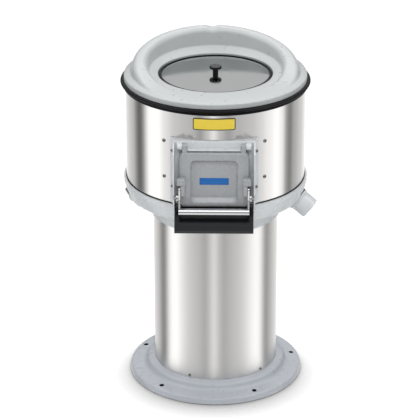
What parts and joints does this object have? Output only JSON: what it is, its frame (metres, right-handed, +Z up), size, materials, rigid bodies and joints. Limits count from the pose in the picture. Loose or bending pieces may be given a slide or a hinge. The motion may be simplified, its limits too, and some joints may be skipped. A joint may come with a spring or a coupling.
{
  "type": "potato peeler machine",
  "caption": "Floor-standing drum peeler on a round pedestal, with hooded top cover, lift-off lid, top-hinged discharge door with latch handle, chute tray and belt-driven abrasive plate.",
  "frame": {"origin": "on the floor, at the middle of the base's flat underside, on the machine's upright axis", "axes": "+Z up along the upright axis; the discharge door faces -Y; the waste outlet is on the +X side"},
  "size_m": [0.5689, 0.6291, 1.0102],
  "materials": {
    "base_paint": "casting painted blue-grey, semi-gloss",
    "stainless": "brushed stainless sheet",
    "polished_steel": "polished stainless",
    "grey_paint": "casting painted pale grey, semi-gloss",
    "door_paint": "casting painted mid grey, semi-gloss",
    "motor_paint": "painted motor body",
    "grey_plastic": "moulded pale grey plastic, satin",
    "black_rubber": "black rubber",
    "black_plastic": "glossy black plastic",
    "abrasive": "dark abrasive grit bonded on aluminium",
    "cast_iron": "machined cast iron",
    "brass": "turned brass"
  },
  "bodies": {
    "root": {"base_flange": "base_paint", "pedestal_tube": "stainless", "cable_gland": "black_plastic", "tub_casting": "grey_paint", "tub_floor": "grey_paint", "seam_gasket": "black_rubber", "blanking_gasket": "black_rubber", "outlet_gasket": "black_rubber", "waste_outlet": "grey_paint", "blanking_plate": "grey_paint", "drum_shell": "stainless", "abrasive_liner": "abrasive", "rim_gasket": "black_rubber", "door_frame": "grey_paint", "hinge_pin_left": "polished_steel", "hinge_pin_right": "polished_steel", "chute_tray": "black_plastic", "water_inlet": "brass", "inlet_nut": "brass", "bearing_housing": "cast_iron", "upper_bearing": "polished_steel", "lower_bearing": "polished_steel", "shaft_seal": "black_rubber", "drive_belt": "black_rubber", "motor": "motor_paint", "motor_plate": "stainless"},
    "cover": {"top_cover": "grey_plastic"},
    "lid": {"inner_lid": "polished_steel", "lid_seal": "black_rubber", "lid_knob": "black_plastic"},
    "door": {"discharge_door": "door_paint", "door_seal": "black_rubber", "handle_pin_left": "polished_steel", "handle_pin_right": "polished_steel"},
    "handle": {"latch_handle": "polished_steel", "latch_roller_left": "polished_steel", "latch_roller_right": "polished_steel"},
    "plate": {"peeling_plate": "abrasive", "plate_cap": "stainless", "drive_shaft": "polished_steel", "driven_pulley": "cast_iron"},
    "rotor": {"motor_shaft": "polished_steel", "motor_pulley": "cast_iron"}
  },
  "joints": [
    {"name": "cover_lift", "type": "slide", "parent": "root", "child": "cover", "axis": [0, 0, 1], "range_m": [0, 0.15]},
    {"name": "lid_lift", "type": "slide", "parent": "cover", "child": "lid", "axis": [0, 0, 1], "range_m": [0, 0.12]},
    {"name": "door_swing", "type": "hinge", "parent": "root", "child": "door", "pos_m": [0, -0.277, 0.8221], "axis": [-1, 0, 0], "range_deg": [0, 75]},
    {"name": "handle_swing", "type": "hinge", "parent": "door", "child": "handle", "pos_m": [0, -0.2995, 0.7001], "axis": [-1, 0, 0], "range_deg": [0, 100]},
    {"name": "plate_spin", "type": "hinge", "parent": "root", "child": "plate", "pos_m": [0, 0, 0.626], "axis": [0, 0, 1], "continuous": true},
    {"name": "motor_spin", "type": "hinge", "parent": "root", "child": "rotor", "pos_m": [0, 0.112, 0.4797], "axis": [0, 0, 1], "continuous": true}
  ],
  "couplings": [
    {"joint": "motor_spin", "follows": "plate_spin", "ratio": 3.1818}
  ]
}
